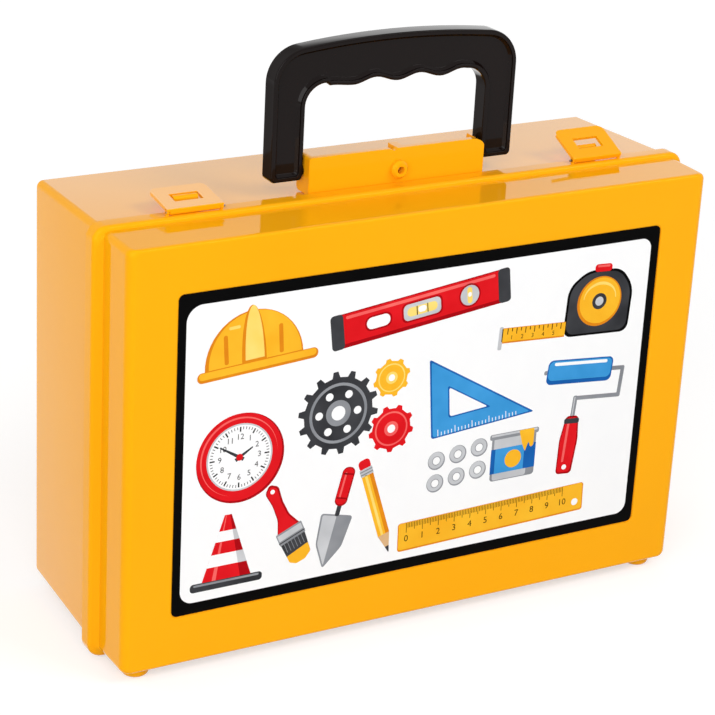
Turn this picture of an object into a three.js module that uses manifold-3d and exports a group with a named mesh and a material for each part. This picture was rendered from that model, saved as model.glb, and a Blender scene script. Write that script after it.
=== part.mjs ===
// A toy carrying case for play tools. Two moulded half shells close against each other at a
// raised rim, turn on pins along the bottom, and are held by two flap latches on the top.
// A folding grip turns in a bracket that is screwed to the deep shell.
//
// Millimetres. X runs to the right, the front faces -Y and Z is up. The origin lies on the
// ground under the middle of the case. Inside this file "depth" is counted from the front
// face backwards, and the last group moves it to the origin.

import * as THREE from "three";
import { mergeVertices } from "three/addons/utils/BufferGeometryUtils.js";
import Module from "manifold-3d";

const wasm = await Module();
wasm.setup();

// The case as a whole
const faceWidth = 322;
const faceHeight = 218;
const caseDepth = 115;
const footHeight = 6;
const wallThickness = 2.2;
const edgeCorner = 3.4; // rounds the edges that run from front to back
const insideCorner = 1.8;

// Shallow front shell
const lidDepth = 37.6;
const lidDraft = 0.1; // how far each wall spreads from the face to the rim
const mouthSpread = 0.5; // how far the rear shell's mouth stands out past the face
const faceSideRound = 4.4; // the face's upright edges
const faceTopRound = 1.6; // the face's upper and lower edges

// Raised rim round the front shell's mouth
const rimDepth = 9.2;
const rimProud = 5; // how far it stands out at the sides
const rimProudAbove = 2.4;
const rimProudBelow = 4;
const rimCorner = 7.5;
const rimFrontRound = 2.2;
const rimBackBevel = 0.5;
const rimRoot = 0.9; // the small slope where the rim leaves the wall

// Deep rear shell
const baseDraft = 2.6; // how far each wall draws in from the mouth to the back
const backRound = 2;
const mouthBevel = 0.4;
const lipReach = 3; // the lip that enters the front shell
const lipThickness = 1.4;
const lipClearance = 0.4;
const lipRoot = 4; // how far the lip's foot runs back along the wall

// Round feet under both shells
const footRadius = 7;
const footRound = 2.4;
const footInset = 12; // from the case's side to the middle of each front foot
const footSetback = 11.5; // from the face or the back to each foot's middle
const rearFootInset = 24;

// Bottom hinges
const hingeInset = 66; // from the case's side to each hinge's middle
const hingeHeight = 3.6;
const knuckleRadius = 3.2;
const knuckleLength = 12;
const knuckleGap = 0.5;
const hingePinRadius = 1.2;

// Printed sheet on the face
const sheetLeftMargin = 25.6;
const sheetRightMargin = 26.4;
const sheetTopMargin = 24.5;
const sheetBottomMargin = 26.5;
const sheetCorner = 3;
const sheetThickness = 0.3;
const recessDepth = 0.5;
const recessMargin = 0.6;
const sheetGlueGap = 0.05;

// Flap latches on the rim
const latchSetback = 2.4; // behind the rim's front
const latchInset = 47.8; // from the case's side to each flap's middle
const latchWidth = 29.4;
const latchLength = 22.4;
const latchThickness = 1.6;
const latchCorner = 3.8;
const latchBarrel = 1.3;
const latchTopRise = 2.1; // the plate's top above the pivot
const latchTopRound = 0.4;
const windowWidth = 14.8;
const windowLength = 7.6;
const windowSetback = 7.2; // from the plate's front edge
const earThickness = 1.4;
const earRadius = 1.25;
const earStem = 1.2; // how wide the ear's foot is, below the pin
const latchPinRadius = 0.55;
const latchPinEnd = 1.2; // how far the pin shows past the ear that faces the grip
const leftLatchOpen = 8; // degrees that each flap stands open
const rightLatchOpen = 24;

// Catches under the windows: half-round bars on a foot
const catchWidth = 11.6;
const catchLength = 5;
const catchSetback = 1.3; // from the window's front edge

// Grip bracket on top of the rear shell
const bracketWidth = 98.8;
const bracketSetback = 0.6; // behind the rear shell's mouth
const bracketRise = 19.7; // its top above the face's upper edge
const bracketPlate = 3.2;
const bracketDepth = 13;
const cheekThickness = 2.8;
const cheekRound = 3;
const plateCorner = 1.6;
const plateSlopeWidth = 7.4; // the upper right corner falls away in a long, flat round
const plateSlopeHeight = 4.2;
const plateBevel = 0.4;
const notchWidth = 4.6; // the dip in the plate's upper edge, left of the middle
const notchDepth = 1.2;
const notchShift = -2.6;
const stiffenerThickness = 4.6;
const stiffenerDepth = 7.5;
const stiffenerShift = 2.2;

// Screw that holds the bracket, its boss and the pillar behind it
const bossRadius = 4.6;
const bossReach = 3.3;
const bossRound = 1.2;
const screwRise = 9.2; // above the face's upper edge
const screwHeadRadius = 1.6;
const screwHeadHeight = 1.3;
const screwShankRadius = 1;
const screwLength = 8;
const screwSlotWidth = 0.6;
const screwSlotLength = 2.4;
const screwSlotDepth = 0.7;
const screwSeat = 1.2; // plate left under the head
const pillarWidth = 9;
const pillarDepth = 6;
const pillarRise = 14.4;

// Folding grip
const gripRise = 76.4; // its highest point above the face's upper edge
const gripThickness = 10;
const gripSetback = 4.3; // from the bracket's front to the grip's
const gripTopRadius = 440; // the slow arch along its top
const gripCorner = 18;
const legWidth = 17.5;
const legGap = 1; // between each leg and the bracket's cheek
const legRise = 7.4; // the legs' lower ends above the face's upper edge
const legCorner = 2.6;
const gripBarHeight = 21.2; // from the finger hollows to the top of the arch
const hollowDepth = 2.8;
const hollowPitch = 24.4;
const endHollowShare = 0.35; // the leftmost hollow is only this deep
const innerCorner = 11;
const gripBevel = 1.1;
const gripRim = 2.4;
const gripPanelDepth = 1.4; // the panel's walls slope at 45 degrees
const gripPanelCorner = 1.9;
const pivotRise = 11.7;
const pivotSetback = 4; // behind the grip's front
const trunnionRadius = 2.6;
const trunnionReach = 1; // how far it shows inside the cheek

// Clearances
const partingGap = 0.3;
const seatGap = 0.3; // between pieces that rest on each other
const turningGap = 0.3; // round pins and trunnions
const sweepGap = 0.35; // round knuckles and ears
const overrun = 1; // how far cutting shapes run past what they cut
const sunk = 0.6; // how far joined shapes run into each other

// Fineness
const cornerSteps = 6;
const edgeSteps = 6;
const roundSides = 24;
const pinSides = 20;
const hollowSteps = 40;
const bevelSteps = 2;

// Places worked out from the sizes
const faceBottom = footHeight;
const faceTop = footHeight + faceHeight;
const baseFront = lidDepth + partingGap;
const rimFront = lidDepth - rimDepth;
const rimTop = faceTop + lidDraft + rimProudAbove;
const hingeDepth = lidDepth + partingGap / 2;
const latchFront = rimFront + latchSetback;
const latchPivotDepth = latchFront + latchBarrel;
const latchPivotHeight = rimTop + seatGap + latchBarrel;
const bracketFront = baseFront + bracketSetback;
const bracketBottom = faceTop + mouthSpread + seatGap;
const bracketTop = faceTop + bracketRise;
const screwHeight = faceTop + screwRise;
const gripFrontDepth = bracketFront + gripSetback;
const pivotDepth = gripFrontDepth + pivotSetback;
const pivotHeight = faceTop + pivotRise;
const legInner = bracketWidth / 2 + legGap;
const gripWidth = 2 * (legInner + legWidth);
const hollowTop = faceTop + gripRise - gripBarHeight;

// Colours and finishes
function plastic(color, roughness) {
  return new THREE.MeshStandardMaterial({ color, roughness, metalness: 0 });
}
const shellYellow = plastic(0xfdb614, 0.28);
const gripBlack = plastic(0x231f20, 0.22);
const sheetWhite = plastic(0xf7f7f5, 0.35);
const steel = new THREE.MeshStandardMaterial({ color: 0xb9bcc0, roughness: 0.35, metalness: 1 });

// Turns a closed geometry into a solid that can be joined and cut
function solidOf(geometry) {
  const bare = geometry.clone();
  bare.deleteAttribute("normal");
  bare.deleteAttribute("uv");
  const merged = mergeVertices(bare);
  const vertProperties = new Float32Array(merged.attributes.position.array);
  const triVerts = new Uint32Array(merged.index.array);
  return new wasm.Manifold(new wasm.Mesh({ numProp: 3, vertProperties, triVerts }));
}

// Turns a solid back into a named mesh
function meshOf(name, solid, material) {
  const result = solid.getMesh();
  const geometry = new THREE.BufferGeometry();
  geometry.setAttribute("position", new THREE.BufferAttribute(result.vertProperties, 3));
  geometry.setIndex(new THREE.BufferAttribute(result.triVerts, 1));
  geometry.computeVertexNormals();
  const mesh = new THREE.Mesh(geometry, material);
  mesh.name = name;
  return mesh;
}

function join(solids) {
  return solids.reduce((whole, solid) => whole.add(solid));
}

function cut(solid, tools) {
  return tools.reduce((rest, tool) => rest.subtract(tool), solid);
}

// Rounded rectangle as a path for extruding, centred on x and y
function roundedRectangle(width, height, corner, x = 0, y = 0) {
  const left = x - width / 2;
  const right = x + width / 2;
  const low = y - height / 2;
  const high = y + height / 2;
  const shape = new THREE.Shape();
  shape.moveTo(left + corner, low);
  shape.lineTo(right - corner, low);
  shape.absarc(right - corner, low + corner, corner, -Math.PI / 2, 0, false);
  shape.lineTo(right, high - corner);
  shape.absarc(right - corner, high - corner, corner, 0, Math.PI / 2, false);
  shape.lineTo(left + corner, high);
  shape.absarc(left + corner, high - corner, corner, Math.PI / 2, Math.PI, false);
  shape.lineTo(left, low + corner);
  shape.absarc(left + corner, low + corner, corner, Math.PI, Math.PI * 1.5, false);
  return shape;
}

function extrude(shape, length, bevel = 0, bevelSegments = bevelSteps) {
  return new THREE.ExtrudeGeometry(shape, {
    depth: length - 2 * bevel,
    curveSegments: cornerSteps,
    bevelEnabled: bevel > 0,
    bevelThickness: bevel,
    bevelSize: bevel,
    bevelOffset: -bevel,
    bevelSegments,
  }).translate(0, 0, bevel);
}

// The outline is drawn in x and height, and runs from one depth to another
function extrudeBack(shape, from, to, bevel = 0, bevelSegments = bevelSteps) {
  const geometry = extrude(shape, to - from, bevel, bevelSegments);
  geometry.rotateX(Math.PI / 2);
  return solidOf(geometry.translate(0, to, 0));
}

// The outline is drawn in depth and height, and runs along X
function extrudeAcross(shape, from, to, bevel = 0) {
  const geometry = extrude(shape, to - from, bevel);
  const across = new THREE.Matrix4().makeBasis(
    new THREE.Vector3(0, 1, 0),
    new THREE.Vector3(0, 0, 1),
    new THREE.Vector3(1, 0, 0),
  );
  return solidOf(geometry.applyMatrix4(across).translate(from, 0, 0));
}

// The outline is drawn in x and depth, and runs upwards
function extrudeUp(shape, from, to, bevel = 0) {
  return solidOf(extrude(shape, to - from, bevel).translate(0, 0, from));
}

function box(left, right, front, back, low, high) {
  const geometry = new THREE.BoxGeometry(right - left, back - front, high - low);
  return solidOf(geometry.translate((left + right) / 2, (front + back) / 2, (low + high) / 2));
}

function rodAcross(radius, from, to, depth, height, sides = roundSides) {
  const geometry = new THREE.CylinderGeometry(radius, radius, to - from, sides);
  geometry.rotateZ(Math.PI / 2);
  return solidOf(geometry.translate((from + to) / 2, depth, height));
}

function rodBack(radius, from, to, x, height, sides = roundSides) {
  const geometry = new THREE.CylinderGeometry(radius, radius, to - from, sides);
  return solidOf(geometry.translate(x, (from + to) / 2, height));
}

// One upright ring of a shell: a rounded rectangle at a depth
function ringPoints({ depth, side, top, bottom, corner }) {
  const centres = [
    [side - corner, bottom + corner, -Math.PI / 2],
    [side - corner, top - corner, 0],
    [corner - side, top - corner, Math.PI / 2],
    [corner - side, bottom + corner, Math.PI],
  ];
  const points = [];
  for (const [x, height, start] of centres) {
    for (let step = 0; step <= cornerSteps; step += 1) {
      const turn = start + (Math.PI / 2) * (step / cornerSteps);
      points.push([x + corner * Math.cos(turn), depth, height + corner * Math.sin(turn)]);
    }
  }
  return points;
}

// A closed solid through a row of such rings
function loft(sections) {
  const rings = sections.map(ringPoints);
  const count = rings[0].length;
  const faces = [];
  for (let ring = 0; ring + 1 < rings.length; ring += 1) {
    for (let here = 0; here < count; here += 1) {
      const next = (here + 1) % count;
      const front = ring * count;
      const back = front + count;
      faces.push(front + here, back + here, front + next);
      faces.push(front + next, back + here, back + next);
    }
  }
  const last = (rings.length - 1) * count;
  for (let here = 1; here + 1 < count; here += 1) {
    faces.push(0, here, here + 1);
    faces.push(last, last + here + 1, last + here);
  }
  const geometry = new THREE.BufferGeometry();
  geometry.setAttribute("position", new THREE.Float32BufferAttribute(rings.flat(2), 3));
  geometry.setIndex(faces);
  return solidOf(geometry);
}

// How far a quarter round of this radius stands back at a depth behind its front
function roundInset(radius, depth) {
  const rest = Math.max(radius - depth, 0);
  return radius - Math.sqrt(radius * radius - rest * rest);
}

// Outside of the front shell, a ring at a depth. The proud share is 1 on the rim's crest.
function lidSection(depth, { sideInset = 0, topInset = 0, lower = 0, onRim = false } = {}) {
  const spread = lidDraft * Math.min(depth / rimFront, 1);
  const rise = (proud) => (onRim ? Math.max(proud - lower, 0) : 0);
  return {
    depth,
    side: faceWidth / 2 + spread - sideInset + rise(rimProud),
    top: faceTop + spread - topInset + rise(rimProudAbove),
    bottom: faceBottom - spread + topInset - rise(rimProudBelow),
    corner: onRim ? rimCorner : edgeCorner,
  };
}

// The face's rounded edges, the plain walls and the rim with its rounded front edge
function lidOutside() {
  const sections = [];
  for (let step = 0; step <= edgeSteps; step += 1) {
    const turn = (Math.PI / 2) * (step / edgeSteps);
    const depth = faceSideRound * (1 - Math.cos(turn));
    const sideInset = faceSideRound * (1 - Math.sin(turn));
    sections.push(lidSection(depth, { sideInset, topInset: roundInset(faceTopRound, depth) }));
  }
  sections.push(lidSection(rimFront - rimRoot));
  for (let step = 0; step <= edgeSteps; step += 1) {
    const turn = (Math.PI / 2) * (step / edgeSteps);
    const depth = rimFront + rimFrontRound * (1 - Math.cos(turn));
    sections.push(lidSection(depth, { lower: rimFrontRound * (1 - Math.sin(turn)), onRim: true }));
  }
  sections.push(lidSection(lidDepth - rimBackBevel, { onRim: true }));
  sections.push(lidSection(lidDepth, { lower: rimBackBevel, onRim: true }));
  return loft(sections);
}

// A ring set in from a shell's plain wall, without the rim
function lidInside(depth) {
  const spread = mouthSpread * Math.min(depth / rimFront, 1);
  return {
    depth,
    side: faceWidth / 2 + spread - wallThickness,
    top: faceTop + spread - wallThickness,
    bottom: faceBottom - spread + wallThickness,
    corner: insideCorner,
  };
}

function lidHollow() {
  const sections = [wallThickness, rimFront, lidDepth + overrun].map(lidInside);
  return loft(sections);
}

// Outside of the rear shell: drafted walls, a bevelled mouth and a rounded back
function baseSection(depth, inset, corner = edgeCorner) {
  const draft = (baseDraft * (depth - baseFront)) / (caseDepth - baseFront);
  return {
    depth,
    side: faceWidth / 2 + mouthSpread - draft - inset,
    top: faceTop + mouthSpread - draft - inset,
    bottom: faceBottom - mouthSpread + draft + inset,
    corner,
  };
}

function baseOutside() {
  const sections = [baseSection(baseFront, mouthBevel), baseSection(baseFront + mouthBevel, 0)];
  for (let step = 0; step <= edgeSteps; step += 1) {
    const turn = (Math.PI / 2) * (step / edgeSteps);
    const depth = caseDepth - backRound * (1 - Math.sin(turn));
    sections.push(baseSection(depth, backRound * (1 - Math.cos(turn))));
  }
  return loft(sections);
}

function baseHollow() {
  return loft([
    baseSection(baseFront - overrun, wallThickness, insideCorner),
    baseSection(caseDepth - wallThickness, wallThickness, insideCorner),
  ]);
}

// The lip inside the rear shell's mouth, which enters the front shell as it closes
function closingLip() {
  const outerInset = wallThickness + lipClearance;
  const innerInset = outerInset + lipThickness;
  const front = baseFront - partingGap - lipReach;
  const back = baseFront + lipRoot;
  const ring = (inset) => (depth) => baseSection(depth, inset, insideCorner);
  const tongue = loft([front, back].map(ring(outerInset)));
  const foot = loft([baseFront, back].map(ring(wallThickness - sunk)));
  const passage = loft([front - overrun, back + overrun].map(ring(innerInset)));
  return cut(join([tongue, foot]), [passage]);
}

// Four round feet, two under each shell, flat below with a rounded edge
function foot(x, depth) {
  const top = footHeight + wallThickness / 2 + baseDraft;
  const profile = [new THREE.Vector2(0, 0)];
  for (let step = 0; step <= edgeSteps; step += 1) {
    const turn = (Math.PI / 2) * (step / edgeSteps);
    const radius = footRadius - footRound * (1 - Math.sin(turn));
    profile.push(new THREE.Vector2(radius, footRound * (1 - Math.cos(turn))));
  }
  profile.push(new THREE.Vector2(footRadius, top), new THREE.Vector2(0, top));
  const geometry = new THREE.LatheGeometry(profile, roundSides);
  geometry.rotateX(Math.PI / 2);
  return solidOf(geometry.translate(x, depth, 0));
}

function footPair(inset, depth) {
  const x = faceWidth / 2 - inset;
  return [-x, x].map((middle) => foot(middle, depth));
}

// Bottom hinges: each has one knuckle of the front shell between two of the rear shell
const hingeCentres = [hingeInset - faceWidth / 2, faceWidth / 2 - hingeInset];
const knuckleStep = knuckleLength + knuckleGap;

function knucklesAt(offsets, radius, extra = 0) {
  const half = knuckleLength / 2 + extra;
  return hingeCentres.flatMap((centre) =>
    offsets.map((offset) => {
      const x = centre + offset * knuckleStep;
      return rodAcross(radius, x - half, x + half, hingeDepth, hingeHeight);
    }),
  );
}

const baseKnuckles = [-1, 1];
const lidKnuckles = [0];

function hingeBores() {
  const half = 1.5 * knuckleLength + knuckleGap + overrun;
  const radius = hingePinRadius + turningGap;
  return hingeCentres.map((centre) =>
    rodAcross(radius, centre - half, centre + half, hingeDepth, hingeHeight, pinSides),
  );
}

function hingePin(centre) {
  const half = 1.5 * knuckleLength + knuckleGap;
  return rodAcross(hingePinRadius, centre - half, centre + half, hingeDepth, hingeHeight, pinSides);
}

// Ears on the rim that carry each latch's pin
const latchCentres = [latchInset - faceWidth / 2, faceWidth / 2 - latchInset];
const earBore = latchPinRadius + turningGap;

function latchEars() {
  const inner = latchWidth / 2 - earThickness;
  const outer = latchWidth / 2;
  const front = latchPivotDepth - earStem / 2;
  const back = latchPivotDepth + earStem / 2;
  return latchCentres.flatMap((centre) =>
    [-1, 1].flatMap((hand) => {
      const from = centre + Math.min(hand * inner, hand * outer);
      const to = from + earThickness;
      return [
        rodAcross(earRadius, from, to, latchPivotDepth, latchPivotHeight),
        box(from, to, front, back, rimTop - sunk, latchPivotHeight),
      ];
    }),
  );
}

function earBores() {
  const half = latchWidth / 2 + overrun;
  return latchCentres.map((centre) =>
    rodAcross(earBore, centre - half, centre + half, latchPivotDepth, latchPivotHeight, pinSides),
  );
}

// A wire pin, flush with the outer ear and showing past the ear on the grip's side
function latchPin(centre) {
  const toGrip = -Math.sign(centre);
  const shift = (toGrip * latchPinEnd) / 2;
  const half = (latchWidth + latchPinEnd) / 2;
  const from = centre + shift - half;
  const to = centre + shift + half;
  return rodAcross(latchPinRadius, from, to, latchPivotDepth, latchPivotHeight, pinSides);
}

// Front shell
function sheetOutline(margin) {
  const left = sheetLeftMargin - faceWidth / 2 - margin;
  const right = faceWidth / 2 - sheetRightMargin + margin;
  const low = faceBottom + sheetBottomMargin - margin;
  const high = faceTop - sheetTopMargin + margin;
  const width = right - left;
  const height = high - low;
  return roundedRectangle(width, height, sheetCorner + margin, left + width / 2, low + height / 2);
}

function lidShell() {
  const sheetRecess = extrudeBack(sheetOutline(recessMargin), -overrun, recessDepth);
  const tray = cut(lidOutside(), [
    lidHollow(),
    sheetRecess,
    ...knucklesAt(baseKnuckles, knuckleRadius + sweepGap, knuckleGap),
  ]);
  const fitted = join([
    tray,
    ...footPair(footInset, footSetback).map((solid) => solid.subtract(lidHollow())),
    ...latchEars(),
    ...knucklesAt(lidKnuckles, knuckleRadius),
  ]);
  return cut(fitted, [...hingeBores(), ...earBores()]);
}

function printedSheet() {
  const back = recessDepth - sheetGlueGap;
  return extrudeBack(sheetOutline(0), back - sheetThickness, back);
}

// Rear shell, with the catches, the screw pillar and the knuckles moulded on
function latchCatch(centre) {
  const front = latchFront + windowSetback + catchSetback;
  const radius = catchLength / 2;
  const top = latchPivotHeight + latchTopRise - latchThickness - seatGap;
  const outline = new THREE.Shape();
  outline.moveTo(front, faceTop - sunk);
  outline.lineTo(front + catchLength, faceTop - sunk);
  outline.lineTo(front + catchLength, top - radius);
  outline.absarc(front + radius, top - radius, radius, 0, Math.PI, false);
  return extrudeAcross(outline, centre - catchWidth / 2, centre + catchWidth / 2);
}

function screwPillar() {
  const front = bracketFront + bracketPlate + seatGap;
  const half = pillarWidth / 2;
  const back = front + pillarDepth;
  return box(-half, half, front, back, faceTop - sunk, faceTop + pillarRise);
}

function baseShell() {
  const tray = cut(baseOutside(), [
    baseHollow(),
    ...knucklesAt(lidKnuckles, knuckleRadius + sweepGap, knuckleGap),
  ]);
  const rearFoot = caseDepth - footSetback;
  const fitted = join([
    tray,
    closingLip(),
    ...footPair(rearFootInset, rearFoot).map((solid) => solid.subtract(baseHollow())),
    ...latchCentres.map(latchCatch),
    ...knucklesAt(baseKnuckles, knuckleRadius),
    screwPillar(),
  ]);
  const pilotFront = bracketFront;
  const pilotBack = bracketFront + screwLength + seatGap + screwSeat;
  const pilot = rodBack(screwShankRadius + turningGap, pilotFront, pilotBack, 0, screwHeight, pinSides);
  return cut(fitted, [...hingeBores(), pilot]);
}

// A flap latch, drawn closed with its pivot at the origin
function latch() {
  const front = -latchBarrel;
  const back = latchLength - latchBarrel;
  const top = latchTopRise;
  const underside = latchTopRise - latchThickness;
  const half = latchWidth / 2;
  const sideOutline = new THREE.Shape();
  sideOutline.moveTo(back, underside);
  sideOutline.lineTo(back, top);
  sideOutline.lineTo(front + latchTopRound, top);
  const roundMiddle = new THREE.Vector2(front + latchTopRound, top - latchTopRound);
  sideOutline.absarc(roundMiddle.x, roundMiddle.y, latchTopRound, Math.PI / 2, Math.PI, false);
  sideOutline.lineTo(front, 0);
  sideOutline.absarc(0, 0, latchBarrel, Math.PI, Math.PI * 2, false);
  sideOutline.lineTo(latchBarrel, underside);
  const topOutline = new THREE.Shape();
  topOutline.moveTo(-half, front);
  topOutline.lineTo(half, front);
  topOutline.lineTo(half, back - latchCorner);
  topOutline.absarc(half - latchCorner, back - latchCorner, latchCorner, 0, Math.PI / 2, false);
  topOutline.lineTo(latchCorner - half, back);
  topOutline.absarc(latchCorner - half, back - latchCorner, latchCorner, Math.PI / 2, Math.PI, false);
  const low = -latchBarrel - overrun;
  const high = latchTopRise + overrun;
  const blank = extrudeAcross(sideOutline, -half, half).intersect(extrudeUp(topOutline, low, high));
  const windowFront = front + windowSetback;
  const window = box(
    -windowWidth / 2,
    windowWidth / 2,
    windowFront,
    windowFront + windowLength,
    low,
    high,
  );
  const barrelHalf = half - earThickness - seatGap;
  const earRoom = earRadius + turningGap;
  const earSpaces = [-1, 1].flatMap((hand) => {
    const from = hand < 0 ? -half - overrun : barrelHalf;
    const to = hand < 0 ? -barrelHalf : half + overrun;
    return [
      rodAcross(earRoom, from, to, 0, 0),
      box(from, to, front - overrun, earRoom, low, 0),
    ];
  });
  const bore = rodAcross(earBore, -half - overrun, half + overrun, 0, 0, pinSides);
  return cut(blank, [window, bore, ...earSpaces]);
}

function placeLatch(name, centre, openDegrees) {
  const mesh = meshOf(name, latch(), shellYellow);
  mesh.position.set(centre, latchPivotDepth, latchPivotHeight);
  mesh.rotation.x = THREE.MathUtils.degToRad(openDegrees);
  return mesh;
}

// The bracket: a front plate with a screw boss, two cheeks that hold the grip and a stiffener
function bracket() {
  const half = bracketWidth / 2;
  const back = bracketFront + bracketDepth;
  const plateBack = bracketFront + bracketPlate;
  const outline = new THREE.Shape();
  outline.moveTo(-half, bracketBottom);
  outline.lineTo(half, bracketBottom);
  outline.lineTo(half, bracketTop - plateSlopeHeight);
  const slopeX = half - plateSlopeWidth;
  const slopeBottom = bracketTop - plateSlopeHeight;
  outline.absellipse(slopeX, slopeBottom, plateSlopeWidth, plateSlopeHeight, 0, Math.PI / 2, false, 0);
  outline.lineTo(notchShift + notchWidth / 2, bracketTop);
  outline.lineTo(notchShift + notchWidth / 2 - notchDepth, bracketTop - notchDepth);
  outline.lineTo(notchShift, bracketTop - notchDepth);
  outline.lineTo(notchShift - notchWidth / 2, bracketTop);
  outline.lineTo(plateCorner - half, bracketTop);
  outline.absarc(plateCorner - half, bracketTop - plateCorner, plateCorner, Math.PI / 2, Math.PI, false);
  const block = extrudeBack(outline, bracketFront, back, plateBevel);
  const cheekOutline = new THREE.Shape();
  cheekOutline.moveTo(bracketFront - overrun, bracketBottom);
  cheekOutline.lineTo(back - cheekRound, bracketBottom);
  cheekOutline.absarc(back - cheekRound, bracketBottom + cheekRound, cheekRound, -Math.PI / 2, 0, false);
  cheekOutline.lineTo(back, bracketTop - cheekRound);
  cheekOutline.absarc(back - cheekRound, bracketTop - cheekRound, cheekRound, 0, Math.PI / 2, false);
  cheekOutline.lineTo(bracketFront - overrun, bracketTop);
  const trimmed = block.intersect(extrudeAcross(cheekOutline, -half, half));
  const innerHalf = half - cheekThickness;
  const hollow = box(
    -innerHalf,
    innerHalf,
    plateBack,
    back + overrun,
    bracketBottom - overrun,
    bracketTop + overrun,
  );
  const stiffenerLeft = stiffenerShift - stiffenerThickness / 2;
  const stiffener = box(
    stiffenerLeft,
    stiffenerLeft + stiffenerThickness,
    plateBack - sunk,
    plateBack + stiffenerDepth,
    faceTop + pillarRise + seatGap,
    bracketTop - plateBevel,
  );
  const bossFront = bracketFront - bossReach;
  const bossCore = rodBack(bossRadius - bossRound, bossFront, plateBack, 0, screwHeight);
  const bossRing = rodBack(bossRadius, bossFront + bossRound, plateBack - sunk, 0, screwHeight);
  const bossEdge = bossBevel(bossFront);
  const headRoom = screwHeadRadius + turningGap;
  const headSeat = plateBack - screwSeat;
  const headHole = rodBack(headRoom, bossFront - overrun, headSeat, 0, screwHeight);
  const shankRoom = screwShankRadius + turningGap;
  const shankHole = rodBack(shankRoom, bossFront, plateBack + overrun, 0, screwHeight, pinSides);
  const pivotRoom = trunnionRadius + turningGap;
  const pivotHole = rodAcross(pivotRoom, -half - overrun, half + overrun, pivotDepth, pivotHeight);
  const whole = join([trimmed.subtract(hollow), stiffener, bossCore, bossRing, bossEdge]);
  return cut(whole, [headHole, shankHole, pivotHole]);
}

// The sloping edge round the boss's nose
function bossBevel(bossFront) {
  const nose = bossRadius - bossRound;
  const geometry = new THREE.CylinderGeometry(bossRadius, nose, bossRound, roundSides);
  return solidOf(geometry.translate(0, bossFront + bossRound / 2, screwHeight));
}

function bracketScrew() {
  const plateBack = bracketFront + bracketPlate;
  const seat = plateBack - screwSeat;
  const headBack = seat - seatGap / 2;
  const head = rodBack(screwHeadRadius, headBack - screwHeadHeight, headBack, 0, screwHeight, pinSides);
  const shankBack = headBack + screwLength;
  const shank = rodBack(screwShankRadius, headBack - sunk, shankBack, 0, screwHeight, pinSides);
  const slotBack = headBack - screwHeadHeight + screwSlotDepth;
  const slotFront = headBack - screwHeadHeight - overrun;
  const long = screwSlotLength / 2;
  const narrow = screwSlotWidth / 2;
  const slots = [
    box(-long, long, slotFront, slotBack, screwHeight - narrow, screwHeight + narrow),
    box(-narrow, narrow, slotFront, slotBack, screwHeight - long, screwHeight + long),
  ];
  return cut(join([head, shank]), slots);
}

// Height of the grip's wavy underside: the fingers lie in the hollows between its bumps
function hollowHeight(x) {
  const wave = Math.cos((2 * Math.PI * (x - hollowPitch / 2)) / hollowPitch);
  const bump = hollowTop - hollowDepth;
  const depth = x < -hollowPitch ? hollowDepth * endHollowShare : hollowDepth;
  return bump + (depth / 2) * (1 + wave);
}

// The grip's outline, drawn in x and height. An inset draws the panel inside its raised rim.
function gripOutline(inset) {
  const side = gripWidth / 2 - inset;
  const top = faceTop + gripRise - inset;
  const low = faceTop + legRise + inset;
  const inner = legInner + inset;
  const corner = gripCorner - inset;
  const arch = gripTopRadius - inset;
  const cornerX = side - corner;
  const archCentre = top - arch;
  const cornerHeight = archCentre + Math.sqrt((arch - corner) ** 2 - cornerX ** 2);
  const tangent = Math.atan2(cornerHeight - archCentre, cornerX);
  const outline = new THREE.Shape();
  const legRound = inset > 0 ? gripPanelCorner : legCorner;
  outline.moveTo(side, low + legRound);
  outline.lineTo(side, cornerHeight);
  outline.absarc(cornerX, cornerHeight, corner, 0, tangent, false);
  outline.absarc(0, archCentre, arch, tangent, Math.PI - tangent, false);
  outline.absarc(-cornerX, cornerHeight, corner, Math.PI - tangent, Math.PI, false);
  outline.lineTo(-side, low + legRound);
  outline.absarc(-side + legRound, low + legRound, legRound, Math.PI, Math.PI * 1.5, false);
  outline.lineTo(-inner - legRound, low);
  outline.absarc(-inner - legRound, low + legRound, legRound, -Math.PI / 2, 0, false);
  const round = innerCorner + inset;
  const roundX = inner - round;
  const roundHeight = hollowHeight(roundX) + inset - round;
  outline.lineTo(-inner, roundHeight);
  outline.absarc(-roundX, roundHeight, round, Math.PI, Math.PI / 2, true);
  for (let step = 1; step < hollowSteps; step += 1) {
    const x = -roundX + (2 * roundX * step) / hollowSteps;
    outline.lineTo(x, hollowHeight(x) + inset);
  }
  outline.absarc(roundX, roundHeight, round, Math.PI / 2, 0, true);
  outline.lineTo(inner, low + legRound);
  outline.absarc(inner + legRound, low + legRound, legRound, Math.PI, Math.PI * 1.5, false);
  outline.lineTo(side - legRound, low);
  outline.absarc(side - legRound, low + legRound, legRound, -Math.PI / 2, 0, false);
  return outline;
}

function grip() {
  const back = gripFrontDepth + gripThickness;
  const frame = extrudeBack(gripOutline(0), gripFrontDepth, back, gripBevel);
  const panelLength = overrun + gripPanelDepth;
  const panels = [gripFrontDepth, back].map((face) =>
    extrudeBack(gripOutline(gripRim), face - panelLength, face + panelLength, gripPanelDepth, 1),
  );
  const end = bracketWidth / 2 - cheekThickness - trunnionReach;
  const root = legInner + sunk;
  const trunnions = [
    rodAcross(trunnionRadius, -root, -end, pivotDepth, pivotHeight),
    rodAcross(trunnionRadius, end, root, pivotDepth, pivotHeight),
  ];
  return join([cut(frame, panels), ...trunnions]);
}

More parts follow.
